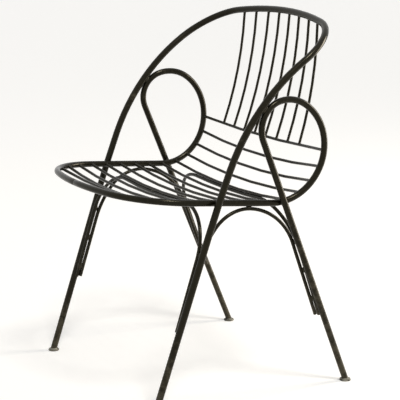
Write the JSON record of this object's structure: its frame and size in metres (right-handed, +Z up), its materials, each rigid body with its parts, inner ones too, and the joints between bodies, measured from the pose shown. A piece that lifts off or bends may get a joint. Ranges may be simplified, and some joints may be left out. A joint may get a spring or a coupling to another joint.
{
  "type": "garden armchair",
  "caption": "Garden armchair of bent and welded round steel bar: a hoop forms front legs, arms and back top, looped side frames carry a slatted seat.",
  "frame": {"origin": "on the floor under the middle of the chair's width and depth", "axes": "+Z up, the chair faces -Y, X runs across from arm to arm and is the axis of its mirror symmetry"},
  "size_m": [0.5458, 0.5516, 0.8077],
  "materials": {
    "coated_bar": "dark bronze-black textured powder coat, satin, on solid round steel bar",
    "coated_weld": "weld beads under the same dark coat, slightly lumpy",
    "glide": "matt black moulded foot glide"
  },
  "bodies": {
    "root": {"hoop": "coated_bar", "side_frame_right": "coated_bar", "side_frame_left": "coated_bar", "seat_rod_01": "coated_bar", "seat_rod_02": "coated_bar", "seat_rod_03": "coated_bar", "seat_rod_04": "coated_bar", "seat_rod_05": "coated_bar", "seat_rod_06": "coated_bar", "seat_rod_07": "coated_bar", "seat_rod_08": "coated_bar", "seat_rod_09": "coated_bar", "seat_rod_10": "coated_bar", "seat_rod_11": "coated_bar", "seat_rod_12": "coated_bar", "seat_rod_13": "coated_bar", "seat_rod_14": "coated_bar", "back_rod_1": "coated_bar", "back_rod_2": "coated_bar", "back_rod_3": "coated_bar", "back_rod_4": "coated_bar", "back_rod_5": "coated_bar", "back_rod_6": "coated_bar", "back_rod_7": "coated_bar", "back_rod_8": "coated_bar", "front_arch": "coated_bar", "rear_arch": "coated_bar", "side_arch_right": "coated_bar", "side_arch_left": "coated_bar", "front_leg_welds": "coated_weld", "rear_leg_welds": "coated_weld", "loop_welds": "coated_weld", "arch_crown_welds": "coated_weld", "foot_glides": "glide"}
  },
  "joints": []
}
